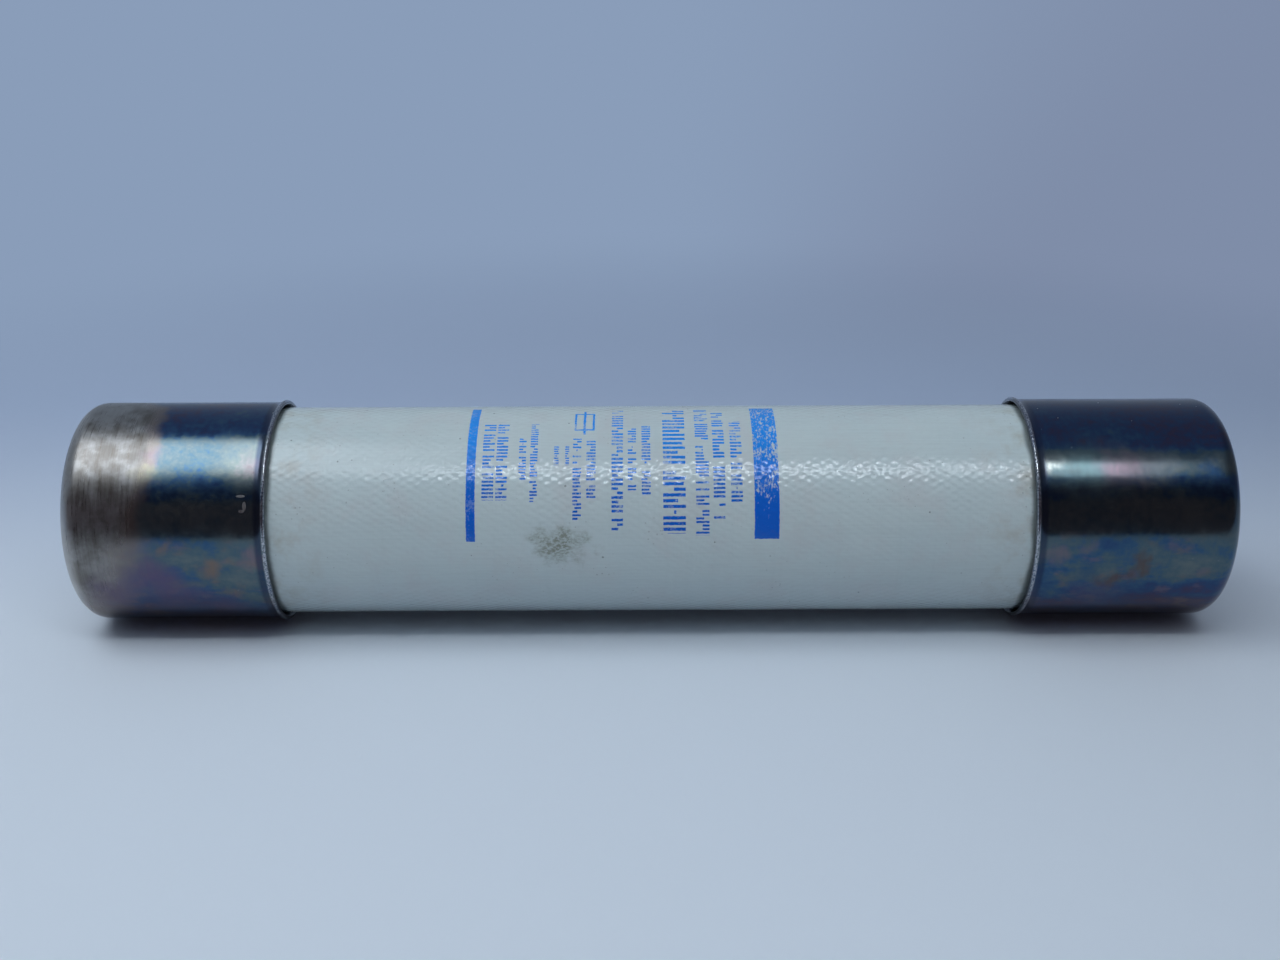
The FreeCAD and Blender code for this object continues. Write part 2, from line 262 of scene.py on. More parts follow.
def ferrule_outline(hole_radius):
    """The right-hand ferrule, with or without a hole. Both its rounded corners share a centre."""
    lip = lip_runs()
    corner = (end_face - corner_radius, ferrule_radius - corner_radius)
    inner_face, inner_radius = end_face - ferrule_wall, ferrule_radius - ferrule_wall
    side = (
        arc(corner, corner_radius, 0, 90, 16),
        run((corner[0], ferrule_radius), lip[0][0], 1.5),
        *lip,
        run(lip[-1][-1], (corner[0], inner_radius), 3),
        arc(corner, corner_radius - ferrule_wall, 90, 0, 8),
    )
    wide = hole_radius + edge_ease if hole_radius else 0
    face_run = run((end_face, wide), (end_face, corner[1]), 2.5)
    back_run = run((inner_face, corner[1]), (inner_face, hole_radius), 5)
    if hole_radius == 0:
        return outline(face_run, *side, back_run)
    before, after = (end_face - edge_ease, hole_radius), (end_face, wide)
    return outline(face_run, *side, back_run, eased(before, (end_face, hole_radius), after))[:-1]


# %% Make both ferrules
pin_head_radius = 4.0
left_cap = turned("left_cap", ferrule_outline(0) * (-1, 1), waves(0.14, 3))
right_outline = ferrule_outline(pin_head_radius + hole_clearance)
right_cap = turned("right_cap", right_outline, waves(0.14, 8))

# %% [markdown]
# ## The tube
#
# The tube is glass cloth wound in resin. Its weave is far finer than its shape, so the mesh is
# a plain tube with eased ends, and the weave comes later as a bump in its finish.

# %% Make the tube
bore_radius = tube_radius - tube_wall
half_section = outline(
    run((0, tube_radius), (tube_end - edge_ease, tube_radius), 3),
    eased((tube_end - edge_ease, tube_radius), (tube_end, tube_radius),
          (tube_end, tube_radius - edge_ease)),
    run((tube_end, tube_radius - edge_ease), (tube_end, bore_radius), 3),
    run((tube_end, bore_radius), (0, bore_radius), 12),
)
other_half = half_section[::-1] * (-1, 1)
tube = turned("wound_tube", outline(half_section, other_half)[:-1], waves(0.05, 5))

# %% [markdown]
# ## The indicator pin
#
# In the real fuse a spring drives this pin out of the right-hand end when its wire melts. It is
# turned from rod, so it has a flat face with an eased edge, a collar that stops it, and a tail
# with a socket for the wire.

# %% Make the pin
face = pin_high[0]
collar_radius = 4.8
collar_face = face - 11.5
collar_back = collar_face - 1.5
tail_end = pin_low[0]
tail_radius = 2.0
socket_radius = 0.6
socket_floor = tail_end + 4.0
pin_ease = 0.6
pin_runs = [
    run((face, 0), (face, pin_head_radius - pin_ease), 0.6),
    eased((face, pin_head_radius - pin_ease), (face, pin_head_radius),
          (face - pin_ease, pin_head_radius), 6),
]
# The corners that follow: (x, radius, pitch of the points on the way there)
for corner_x, corner_height, pitch in (
    (collar_face, pin_head_radius, 2),
    (collar_face, collar_radius, 1),
    (collar_back, collar_radius, 1),
    (collar_back, tail_radius, 1),
    (tail_end, tail_radius, 2),
    (tail_end, socket_radius, 1),
    (socket_floor, socket_radius, 2),
    (socket_floor, 0, 0.6),
):
    pin_runs.append(run(pin_runs[-1][-1], (corner_x, corner_height), pitch))
head = turned("indicator_head", outline(*pin_runs))

# %% Put each new surface in its node's place
for piece, node, slot, body in (
    (tube, "fuse_tube", "tube", "fuse_body"),
    (left_cap, "left_ferrule", "ferrule", "fuse_body"),
    (right_cap, "right_ferrule", "ferrule", "fuse_body"),
    (head, "indicator_pin", "pin", "indicator"),
):
    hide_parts(node)
    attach(piece, body)
    print(piece.name, "stands for", node)

# %% [markdown]
# ## Materials as arithmetic
#
# A finish here is a formula of the place on the piece. Nodes can be wired by hand, but sums read
# better as sums, so a small class wraps a node's output and turns Python's operators into Math
# nodes. Everything else comes from one method, which takes a node's kind, its settings and what
# goes into its sockets. Colours are mixed, never added.

# %% Values and recipes
class Value:
    """One output of a node. Arithmetic on it adds Math nodes to its recipe."""

    def __init__(self, recipe, socket):
        self.recipe = recipe
        self.socket = socket

    def __add__(self, other):
        return self.recipe.math("ADD", self, other)

    def __sub__(self, other):
        return self.recipe.math("SUBTRACT", self, other)

    def __rsub__(self, other):
        return self.recipe.math("SUBTRACT", other, self)

    def __mul__(self, other):
        return self.recipe.math("MULTIPLY", self, other)

    def __truediv__(self, other):
        return self.recipe.math("DIVIDE", self, other)

    def __lt__(self, other):
        return self.recipe.math("LESS_THAN", self, other)

    def __gt__(self, other):
        return self.recipe.math("GREATER_THAN", self, other)

    def __abs__(self):
        return self.recipe.math("ABSOLUTE", self)

    def __or__(self, other):
        """The larger of the two, which joins two masks."""
        return self.recipe.math("MAXIMUM", self, other)

    __radd__ = __add__
    __rmul__ = __mul__

    def all_outputs(self):
        """Every output of the same node, each as a value."""
        return [Value(self.recipe, output) for output in self.socket.node.outputs]


class Recipe:
    """The nodes of one material, or of the world."""

    def __init__(self, owner):
        owner.use_nodes = True
        self.owner = owner
        self.tree = owner.node_tree

    def node(self, kind, settings=None, sockets=None, output=0):
        """Adds a node. Its settings come first, then the values or links of its sockets."""
        made = self.tree.nodes.new("ShaderNode" + kind)
        for name, value in (settings or {}).items():
            setattr(made, name, value)
        for key, value in (sockets or {}).items():
            self.feed(made.inputs[key], value)
        return Value(self, made.outputs[output])

    def feed(self, socket, value):
        if isinstance(value, Value):
            self.tree.links.new(value.socket, socket)
        elif hasattr(value, "__len__") and socket.type == "RGBA":
            socket.default_value = (*value, 1)
        else:
            socket.default_value = value

    def math(self, operation, *values):
        return self.node("Math", {"operation": operation}, dict(enumerate(values)))

    def mix(self, factor, first, second):
        """The first colour where factor is 0, and the second where it is 1."""
        return self.node("Mix", {"data_type": "RGBA"}, {0: factor, 6: first, 7: second}, 2)

    def rise(self, value, low, high, start=0.0, end=1.0):
        """A smooth step: start below low, end above high."""
        return self.node("MapRange", {"interpolation_type": "SMOOTHSTEP"},
                         {0: value, 1: low, 2: high, 3: start, 4: end})

    def ramp(self, value, stops, interpolation="LINEAR"):
        """A colour that follows a value, through stops of (place, colour)."""
        made = self.node("ValToRGB", {}, {0: value})
        ramp = made.socket.node.color_ramp
        while len(ramp.elements) < len(stops):
            ramp.elements.new(1)
        for element, (place, colour) in zip(ramp.elements, stops):
            element.position = place
            element.color = (*colour, 1)
        ramp.interpolation = interpolation
        return made

    def noise(self, vector, scale, detail=2.0, roughness=0.5):
        """Cloudy noise about 0.5, with scale waves to the unit of the vector."""
        return self.node("TexNoise", {}, {"Vector": vector, "Scale": scale, "Detail": detail,
                                          "Roughness": roughness})

    def bump(self, height, distance):
        return self.node("Bump", {}, {"Height": height, "Distance": distance, "Strength": 1.0})

    def shader(self, **sockets):
        """Sets the Principled shader's sockets, named with _ for a space."""
        principled = self.tree.nodes["Principled BSDF"]
        for name, value in sockets.items():
            self.feed(principled.inputs[name.replace("_", " ")], value)

    def surface(self, shader):
        """Sends this shader to the output, in place of the Principled one."""
        self.feed(self.tree.nodes["Material Output"].inputs["Surface"], shader)


def new_recipe(name):
    return Recipe(bpy.data.materials.new(name))


def dress(piece, recipe):
    """Gives a piece's mesh this finish, in every slot that it has."""
    if not piece.material_slots:
        piece.data.materials.append(recipe.owner)
    for material_slot in piece.material_slots:
        material_slot.material = recipe.owner


def linear(red, green, blue):
    """A screen colour of 0 to 255 as the linear light that nodes take."""
    share = np.array((red, green, blue)) / 255
    light = np.where(share <= 0.04045, share / 12.92, ((share + 0.055) / 1.055) ** 2.4)
    return tuple(light.tolist())


# %% [markdown]
# ## Where a point is
#
# All patterns start from the place on the piece in millimetres, and on round pieces from the
# angle about the axis. The angle is 0 towards the viewer and 90 degrees at the top. The object
# coordinates are in metres and each piece lies at the origin, so they are the fuse's own.

# %% Coordinates of a recipe
def place_of(recipe):
    """The point in millimetres as a vector, and x, y and z on their own."""
    raw = recipe.node("TexCoord", output="Object")
    point = recipe.node("VectorMath", {"operation": "SCALE"}, {0: raw, "Scale": 1 / MM})
    return point, *recipe.node("SeparateXYZ", {}, {0: point}).all_outputs()


def angle_of(recipe, y, z):
    """The angle about the axis in degrees: arctan of z over -y."""
    return recipe.math("ARCTAN2", z, y * -1) * (180 / math.pi)


def stretched(recipe, point, x_share, ring_share):
    """The point with x and the other two axes scaled apart: noise on it runs in rings where x is
    scaled up, and in lines along the axis where x is scaled down."""
    return recipe.node("Mapping", {}, {"Vector": point,
                                       "Scale": (x_share, ring_share, ring_share)})


# %% [markdown]
# ## The tube's finish
#
# Glass cloth under clear resin is a pale, slightly green grey with a gloss. The yarns go over
# and under one another, so the surface has rows of small crowns, and these break up the lamp's
# reflection. Each yarn is 2.4 mm wide along the axis and 1.35 mm round the tube: the height is
# sin(pi x / 2.4) times sin(n a), where n is a whole number, so that it closes at the back.
#
# Over it lie rings and lengthwise streaks, grey clouds where hands held it, brown stains near the
# ferrules, and specks and dust. A painted shade makes the underside darker and bluer, and at each
# lip a dark line is partly grime and partly painted shade.

# %% Weave
yarn_along = 2.4
waves_round = 84
cloth = new_recipe("glass_cloth")
point, x, y, z = place_of(cloth)
angle = angle_of(cloth, y, z)
drift = cloth.noise(point, 0.06, 1)
warp = cloth.math("SINE", x * (math.pi / yarn_along) + drift * 4)
weft = cloth.math("SINE", angle * (waves_round * math.pi / 180) + drift * 3)
weave = warp * weft
print("yarns:", yarn_along, "mm along,", round(180 / waves_round * tube_degree, 2), "mm round")

# %% Resin, and the marks of handling
def stained(colour, pattern, low, high, strength, stain):
    """The colour, turned towards the stain where the pattern rises from low to high."""
    return cloth.mix(cloth.rise(pattern, low, high, 0.0, strength), colour, stain)


resin = cloth.mix(cloth.noise(point, 0.035, 3), (0.50, 0.588, 0.590), (0.56, 0.630, 0.610))
resin = cloth.mix(abs(weft) * 0.06, resin, (0.72, 0.78, 0.77))
rings = cloth.noise(stretched(cloth, point, 0.5, 0.02), 1.0, 3, 0.6)
resin = stained(resin, rings, 0.5, 0.75, 0.06, (0.38, 0.45, 0.44))
lengthwise = cloth.noise(stretched(cloth, point, 0.05, 1.0), 1.3, 2, 0.6)
resin = stained(resin, lengthwise, 0.4, 0.7, 0.14, (0.40, 0.46, 0.46))
handled = cloth.noise(point, 0.055, 5, 0.65)
resin = stained(resin, handled, 0.45, 0.7, 0.45, (0.53, 0.535, 0.53))

# %% Stains, specks, dust, grime and painted shade
mouth = end_face - ferrule_length
from_middle = abs(x)
near_lip = cloth.rise(from_middle, mouth - 23, mouth)
stain = near_lip * cloth.rise(cloth.noise(point, 0.11, 4, 0.6), 0.42, 0.75)
resin = cloth.mix(stain * 0.45, resin, (0.36, 0.33, 0.24))

rare = cloth.noise(point, 0.07)
speck_cells = cloth.node("TexVoronoi", {}, {"Vector": point, "Scale": 0.2}, "Distance")
specks = speck_cells < cloth.rise(rare, 0.46, 0.7, 0.0, 0.08)
resin = cloth.mix(specks * 0.6, resin, (0.12, 0.13, 0.12))
dusty = cloth.noise(point, 0.09, 4, 0.6) + near_lip * 0.08
dust_cells = cloth.node("TexVoronoi", {}, {"Vector": point, "Scale": 0.55}, "Distance")
dust = dust_cells < cloth.rise(dusty, 0.45, 0.7, 0.0, 0.17)
resin = cloth.mix(dust * 0.35, resin, (0.15, 0.16, 0.15))

level = angle_of(cloth, abs(y) * -1, z)
# Painted shade: the resin is made darker and bluer towards the underside.
painted_underside_shade = cloth.rise(level, -48, -10, 0.25, 0.0)
resin = cloth.mix(painted_underside_shade, resin, (0.24, 0.30, 0.38))
# A dark ring on the tube at each ferrule's mouth: partly grime, partly painted shade where the lip
# meets the tube.
collar = cloth.rise(from_middle + (rare - 0.5) * 3, mouth - 1.7, mouth + 0.2, 0.0, 0.8)
resin = cloth.mix(collar, resin, (0.10, 0.12, 0.12))
print("grime up to the ferrules' mouths at x =", round(mouth, 1), "mm")

# %% [markdown]
# ## Smudge and printing
#
# The tube carries a grey smudge and blue printing. The printing on the real one is a maker's, so
# this one is generic: two bars, rows of plain strokes, and the drawing symbol of a fuse, which
# is a box with a line through it. The ink is uneven, ragged at its edges, and rubbed off in
# speckles where hands have worn it.

# %% Smudge
smudge_middle = (-30.5, 1)
smudge_half = (12, 13.5)
smudge_x = (x - smudge_middle[0]) / smudge_half[0]
smudge_ring = (angle - smudge_middle[1]) / smudge_half[1]
cloud = cloth.noise(point, 0.18, 4, 0.6)
dirt = cloth.noise(stretched(cloth, point, 0.9, 1.5), 1.0, 3, 0.7) + weave * 0.05
far = cloth.math("SQRT", smudge_x * smudge_x + smudge_ring * smudge_ring) + (cloud - 0.5) * 1.8
smudge = cloth.rise(far, 0.2, 1.05, 0.9, 0.0) * cloth.rise(dirt, 0.4, 0.64, 1.0, 0.3)
resin = cloth.mix(smudge, resin, (0.185, 0.190, 0.135))
print("smudge at x =", smudge_middle[0], "mm and", smudge_middle[1], "degree up")

# %% Rows of strokes
# A row of strokes is (x of its middle, height, first angle, last angle, pitch of its strokes)
stroke_rows = (
    (-54.3, 4.3, 26, 74, 1.3), (-49.6, 3.8, 26, 74, 1.3), (-42.9, 2.7, 37, 63, 1.1),
    (-39.1, 2.8, 25, 74, 1.1), (-31.4, 1.7, 45, 57, 0.9), (-28.0, 1.7, 45, 57, 0.9),
    (-24.6, 3.0, 15, 62, 1.2), (-19.9, 3.2, 27, 63, 1.2), (-11.2, 4.0, 9, 91, 1.5),
    (-6.3, 3.0, 31, 70, 1.2), (-1.6, 3.2, 28, 72, 1.2), (7.7, 7.8, 8, 91, 1.9),
    (17.1, 4.7, 7, 92, 1.2), (22.7, 4.1, 15, 86, 1.4), (28.4, 4.2, 24, 76, 1.4),
)
print_low, print_high = -64.0, 43.0
print_width = print_high - print_low
print(len(stroke_rows), "rows of strokes")

# %% The row at a point
ragged = cloth.noise(point, 1.1) - 0.5
ink_x = x + ragged * 0.4
ink_arc = angle * tube_degree + ragged * 0.4
ink_angle = ink_arc * (1 / tube_degree)


def row_stops(facts_of):
    """Stops along x that hold a row's facts over its height, and 0 between rows."""
    stops = [(0.0, (0, 0, 0))]
    for row in stroke_rows:
        middle, height = row[:2]
        low = (middle - height / 2 - print_low) / print_width
        stops.append((low, facts_of(row)))
        stops.append((low + height / print_width, (0, 0, 0)))
    return stops


def facts_here(facts_of, count):
    """The first count facts of the row at this x. A ramp's colours hold three."""
    held = cloth.ramp((ink_x - print_low) / print_width, row_stops(facts_of), "CONSTANT")
    return cloth.node("SeparateColor", {}, {0: held}).all_outputs()[:count]


pitch_share, first, last = facts_here(lambda row: (row[4] / 10, row[2] / 100, row[3] / 100), 3)
middle_share, height_share = facts_here(
    lambda row: ((row[0] - print_low) / print_width, row[1] / 10, 0), 2)
in_row = (pitch_share > 0.01) * (ink_angle > first * 100) * (ink_angle < last * 100)
up_row = (ink_x - middle_share * print_width - print_low) / (height_share * 10 + 0.001)

# %% Strokes, of three heights, with gaps between words
along_row = ink_arc / (pitch_share * 10 + 0.001)
cell = cloth.math("FLOOR", along_row)
seed = cloth.node("CombineXYZ", {}, {0: cell, 1: middle_share * 50, 2: 0.5})
dice = cloth.node("TexWhiteNoise", {}, {"Vector": seed}, "Color")
gap_roll, high_roll, low_roll = cloth.node("SeparateColor", {}, {0: dice}).all_outputs()
in_cell = along_row - cell
stroke = (in_cell > 0.16) * (in_cell < 0.74) * (gap_roll > 0.1)
reach_up = cloth.rise(high_roll, 0.15, 0.35, 0.1, 0.5)
reach_down = cloth.rise(low_roll, 0.1, 0.25, 0.0, -0.5)
strokes = in_row * stroke * (up_row < reach_up) * (up_row > reach_down)

# %% Bars and the fuse symbol
def slab(value, middle, half):
    """1 where the value is within half of the middle."""
    return abs(value - middle) < half


thick_bar = slab(ink_x, 38.5, 4.1) * slab(ink_angle, 49.3, 44.4)
thin_bar = slab(ink_x, -59.8, 1.5) * slab(ink_angle, 49, 45)
symbol_x, symbol_arc = -22.2, 48.5
outer_box = slab(ink_x, symbol_x, 3.4) * slab(ink_arc, symbol_arc, 5.4)
inner_box = slab(ink_x, symbol_x, 2.7) * slab(ink_arc, symbol_arc, 4.7)
through_line = slab(ink_x, symbol_x, 0.4) * slab(ink_arc, symbol_arc, 7.4)
symbol = (outer_box - inner_box) | through_line
print("symbol at x =", symbol_x, "mm")

# %% Worn ink
speckle = cloth.noise(point, 1.3, 3, 0.65)
streaks = cloth.noise(stretched(cloth, point, 1.0, 0.35), 1.5, 3, 0.65)
patches = cloth.noise(point, 0.12)
rub = streaks * 0.5 + speckle * 0.25 + patches * 0.25
rubbed_bar = cloth.rise(rub + cloth.rise(angle, 20, 34, -0.12, 0.0), 0.49, 0.57, 0.0, 0.9)
worn = cloth.rise(speckle * 0.5 + patches * 0.5, 0.5, 0.62, 1.0, 0.35)
bars = (thin_bar * (worn * 0.4 + 0.6)) | (thick_bar * (1 - rubbed_bar))
ink = ((strokes | symbol) * worn) | bars
# The ink turns paler and more cyan towards the top: a painted reflection of the light above.
ink_with_painted_sheen = cloth.mix(cloth.rise(angle, 20, 70), (0.005, 0.115, 0.56), (0.012, 0.265, 0.80))
printed = cloth.mix(ink, resin, ink_with_painted_sheen)

# %% The tube's relief and gloss
# The crowns of real yarns differ, so noise of about their size is laid over the weave
slack = cloth.rise(cloth.noise(point, 0.05), 0.35, 0.65, 0.4, 0.65)
crowns = cloth.noise(point, 0.8)
weave_height = weave * slack + crowns * 1.6
fine = cloth.noise(point, 1.5, 3, 0.6)
cloth.shader(
    Base_Color=printed,
    Roughness=cloth.rise(fine, 0.3, 0.7, 0.06, 0.12),
    Normal=cloth.bump(weave_height, 0.07 * MM),
)
dress(tube, cloth)
print("glass_cloth has", len(cloth.tree.nodes), "nodes")

# %% [markdown]
# ## The ferrules' finish
#
# Plated brass that has been warm tarnishes in a film, and the film's thickness decides its
# colour: bare metal, straw, brown, purple, deep blue, light blue, grey, pink and orange. So the
# finish is worked out in steps, each a function. The first gives one number, the thickness, which
# grows towards the lip and wanders with noise. The second is a ramp of those colours. Where clips
# have rubbed the left ferrule's outer half, bare metal shows, brushed round the axis. Coloured
# smears follow, then the worn lip, and last the pits and scratches.

# %% The film's colours, from none to thick
film_colours = (
    (0.00, (0.22, 0.17, 0.13)),
    (0.12, (0.19, 0.125, 0.10)),
    (0.24, (0.11, 0.070, 0.090)),
    (0.34, (0.066, 0.058, 0.118)),
    (0.43, (0.036, 0.074, 0.168)),
    (0.50, (0.046, 0.104, 0.190)),
    (0.56, (0.082, 0.130, 0.158)),
    (0.65, (0.126, 0.160, 0.170)),
    (0.74, (0.160, 0.188, 0.180)),
    (0.82, (0.225, 0.222, 0.222)),
    (0.89, (0.200, 0.165, 0.165)),
    (0.95, (0.150, 0.098, 0.066)),
    (1.00, (0.090, 0.058, 0.120)),
)
print("film colours:", len(film_colours))

# %% Colours of metal, lip and smears
dull_metal, worn_bright = (0.118, 0.104, 0.090), (0.345, 0.340, 0.335)
corner_rub_and_reflection, mark_bright = (0.62, 0.59, 0.56), (0.50, 0.50, 0.48)
# The second colour of this line is the near black of a painted shade over the film's upper part.
fading_tan, painted_shade_black = (0.25, 0.195, 0.16), (0.018, 0.020, 0.026)
painted_flank_blue, front_grey = (0.030, 0.042, 0.085), (0.17, 0.18, 0.19)
edge_bright = (0.50, 0.51, 0.55)
amber, straw = (0.200, 0.145, 0.120), (0.300, 0.280, 0.190)
rose, violet = (0.205, 0.150, 0.175), (0.120, 0.092, 0.165)
cyan, pale_grey = (0.118, 0.175, 0.182), (0.160, 0.170, 0.180)
rust, deep_blue = (0.115, 0.082, 0.076), (0.030, 0.080, 0.170)
cream, warm_grey = (0.350, 0.365, 0.340), (0.290, 0.280, 0.270)

# %% Where a point is on a ferrule
def ferrule_place(recipe, side, top_from):
    """Where a point is on a ferrule, and the noises and zones that its patterns share. side is -1
    on the left and 1 on the right. The level is the angle above the axis, alike on the near and
    the far side, so no pattern has a seam at the back. On the end face, where angles would draw
    wedges, side_wall is 0, and every zone fades out."""
    point, x, y, z = place_of(recipe)
    on = SimpleNamespace(recipe=recipe, point=point, x=x)
    on.angle = angle_of(recipe, y, z)
    on.level = angle_of(recipe, abs(y) * -1, z)
    radial = recipe.math("SQRT", y * y + z * z)
    on.side_wall = recipe.rise(radial, ferrule_radius - 9, ferrule_radius - 1)
    on.from_end = end_face - x * side
    on.to_mouth = ferrule_length - on.from_end
    on.clouds = recipe.noise(stretched(recipe, point, 0.6, 1.0), 0.05, 3) - 0.5
    on.small = recipe.noise(point, 0.16, 4, 0.6) - 0.5
    on.mottle = recipe.noise(point, 0.5, 3, 0.6) - 0.5
    on.rings = recipe.noise(stretched(recipe, point, 1.3, 0.08), 0.8, 4, 0.65) - 0.5
    on.hair = recipe.noise(stretched(recipe, point, 4.0, 0.15), 1.0, 2, 0.6) - 0.5
    on.lathe = recipe.node("TexNoise", {"noise_dimensions": "1D"},
                           {"W": radial, "Scale": 1.1, "Detail": 3.0})
    on.top = 1 - (1 - recipe.rise(on.level, top_from, top_from + 8)) * on.side_wall
    on.below = recipe.rise(on.level, -4, 18, 1.0, 0.0) * on.side_wall
    return on


# %% The film's thickness
def film_thickness(on, film_at):
    """film_at is how thick it is on top, in front, below the front and underneath, and how much
    more at the lip. Noises make it wander."""
    recipe, level = on.recipe, on.level
    on_top, in_front, below_front, underneath, more_at_lip = film_at
    deep = recipe.rise(level, -27, -10, 1.0, 0.0) * on.side_wall
    lowest = recipe.rise(level, -38, -25, 0.1, 0.0) * on.side_wall
    film = in_front + on.top * (on_top - in_front) + on.below * (below_front - in_front)
    film = film + deep * (underneath - below_front) - lowest

    near_lip = recipe.rise(on.from_end, 48, 64, 0.0, more_at_lip)
    lip_share = recipe.rise(level, 27, 40, 0.15, 1.0) * recipe.rise(level, 44, 54, 1.0, 0.55)
    film = film + near_lip * lip_share * (1 - on.top * 0.8)
    thin_line = recipe.rise(level, 22, 28) * recipe.rise(level, 35, 41, 0.12, 0.0)
    film = film - thin_line * on.side_wall

    film = film + on.clouds * 0.32 + on.small * 0.2 + on.mottle * (0.28 - on.below * 0.12)
    bands = recipe.noise(stretched(recipe, on.point, 0.3, 1.0), 0.14, 3, 0.55) - 0.5
    return film + bands * on.below * 0.45


def film_look(on, film, depth):
    """The film's colour. Below the front it blushes in patches, and depth darkens it above, a
    painted shade.
    """
    recipe = on.recipe
    colour = recipe.ramp(film, film_colours)
    blush = recipe.noise(stretched(recipe, on.point, 0.6, 1.0), 0.17, 3, 0.6)
    blush_colour = recipe.mix(recipe.rise(on.small, -0.1, 0.1), rose, amber)
    patches = recipe.rise(blush, 0.52, 0.70, 0.0, 0.5) * on.below
    colour = recipe.mix(patches, colour, blush_colour)
    # Painted shade: from the front up over the top, the film is darkened towards near black.
    darker = recipe.rise(on.level, -5, 25, 0.0, depth) * on.side_wall
    return recipe.mix(darker, colour, painted_shade_black)


# %% Worn metal
def film_left(on, worn_to):
    """1 where the film is whole, and 0 where clips have rubbed it off: within about
    worn_to[0] + worn_to[1] cos(angle - 55) of the end face."""
    recipe = on.recipe
    facing = recipe.math("COSINE", (on.angle - 55) * (math.pi / 180)) * on.side_wall
    reach = facing * worn_to[1] + worn_to[0]
    wander = on.clouds * 16 + on.small * 7 + on.rings * 2
    past_edge = (on.from_end - reach + wander) / (on.below * 2.0 + 1.0)
    return recipe.rise(past_edge, -5, 4)


def worn_metal(on):
    """Bare metal: brushed round the ferrule, turned on the end face, grimy, and brighter at its
    corner, partly where it has rubbed and partly as a painted reflection."""
    recipe = on.recipe
    turned_share = (on.lathe - 0.5) * (1 - on.side_wall)
    brushed = recipe.rise(on.rings * 0.7 + on.hair * 0.3 + turned_share, -0.16, 0.16)
    grime = recipe.rise(on.small * 0.5 + on.clouds * 0.5, -0.12, 0.12)
    colour = recipe.mix(brushed * 0.25 + grime * 0.75, dull_metal, worn_bright)
    # The end corner is brighter: partly rubbed metal, partly a painted reflection.
    return recipe.mix(recipe.rise(on.from_end, 1.5, 7, 0.7, 0.0), colour, corner_rub_and_reflection)


# %% Smears, the lip and bright marks
def smeared(on, colour, smears):
    """Adds coloured smears. A smear is (x, angle, radius, colour, strength), and noise draws its
    edge out of round. The noise moves a point by 7 mm on average, so the middle moves too."""
    recipe = on.recipe
    drawn_out = 14.0
    swirl = recipe.node("TexNoise", {}, {"Vector": on.point, "Scale": 0.13, "Detail": 3.0}, "Color")
    drawn = recipe.node("VectorMath", {"operation": "MULTIPLY_ADD"},
                        {0: swirl, 1: (drawn_out,) * 3, 2: on.point})
    streaked = (1 - on.top * 0.7) * (on.rings * 1.2 + 1)
    for smear_x, smear_angle, radius, smear_colour, strength in smears:
        turn = math.radians(smear_angle)
        middle = np.array((smear_x, -ferrule_radius * math.cos(turn),
                           ferrule_radius * math.sin(turn)))
        apart = recipe.node("VectorMath", {"operation": "DISTANCE"},
                            {0: drawn, 1: tuple(middle + drawn_out / 2)}, "Value")
        smear = recipe.rise(apart, radius * 0.1, radius * 1.3, strength, 0.0)
        colour = recipe.mix(smear * streaked, colour, smear_colour)
    return colour


def lip_worn(on, colour):
    """The flare's flank is darkened to blue, a painted reflection; its edge is worn bright in
    dents, and its front is dull.
    """
    recipe, to_mouth = on.recipe, on.to_mouth
    # Painted reflection: the flank of the flare is darkened to blue.
    flank = recipe.rise(to_mouth, 3.5, 4.9, 1.0, 0.0) * recipe.rise(to_mouth, 1.5, 2.1)
    colour = recipe.mix(flank * 0.7, colour, painted_flank_blue)
    colour = recipe.mix(recipe.rise(to_mouth, 0.3, 0.6, 1.0, 0.0), colour, front_grey)
    edge = recipe.rise(to_mouth, 1.3, 1.8, 1.0, 0.0) * recipe.rise(to_mouth, 0.3, 0.6)
    dents = recipe.rise(recipe.noise(on.point, 1.8), 0.42, 0.58, 0.2, 1.0)
    return recipe.mix(edge * dents, colour, edge_bright)


def bright_marks(on, scratches):
    """1 in pits and scratches. A scratch is (x, angle, half its length, half its width)."""
    recipe = on.recipe
    pits = recipe.node("TexVoronoi", {}, {"Vector": on.point, "Scale": 0.22}, "Distance")
    bright = pits < recipe.rise(on.clouds + on.top * 0.12, 0.0, 0.2, 0.0, 0.05)
    for middle_x, middle_angle, half_length, half_width in scratches:
        along = (on.x - middle_x) / half_length
        across = (on.angle - middle_angle) * (ferrule_degree / half_width)
        inside = along * along + across * across + on.small * 2 < 1
        bright = bright | inside
    return bright


# %% A tarnished ferrule
def tarnished(name, side, worn_to, film_at, top_from, depth, gloss, smears, scratches=()):
    """The finish of one ferrule, from the steps above. The top zone starts at the angle top_from,
    and gloss is the film's lowest roughness."""
    recipe = new_recipe(name)
    on = ferrule_place(recipe, side, top_from)
    covered = film_left(on, worn_to)
    bare = 1 - covered
    film = film_look(on, film_thickness(on, film_at), depth)
    colour = recipe.mix(covered, worn_metal(on), film)
    colour = recipe.mix(covered * bare * 2.2, colour, fading_tan)
    colour = lip_worn(on, smeared(on, colour, smears))
    bright = bright_marks(on, scratches)
    colour = recipe.mix(bright * 0.8, colour, mark_bright)

    matt = bare | bright
    smooth = recipe.rise(on.small + on.mottle * 0.5, -0.2, 0.2, gloss, gloss + 0.08)
    rough = recipe.rise(on.hair + on.rings, -0.4, 0.4, 0.25, 0.37)
    relief = on.hair * bare * 0.7 + on.rings * (bare * 0.6 + 0.1) + on.mottle * 0.3
    relief = relief + on.lathe * (1 - on.side_wall) * 0.8
    recipe.shader(
        Base_Color=colour,
        Metallic=1.0,
        Roughness=smooth + (rough - smooth) * matt,
        Normal=recipe.bump(relief, 0.03 * MM),
    )
    return recipe


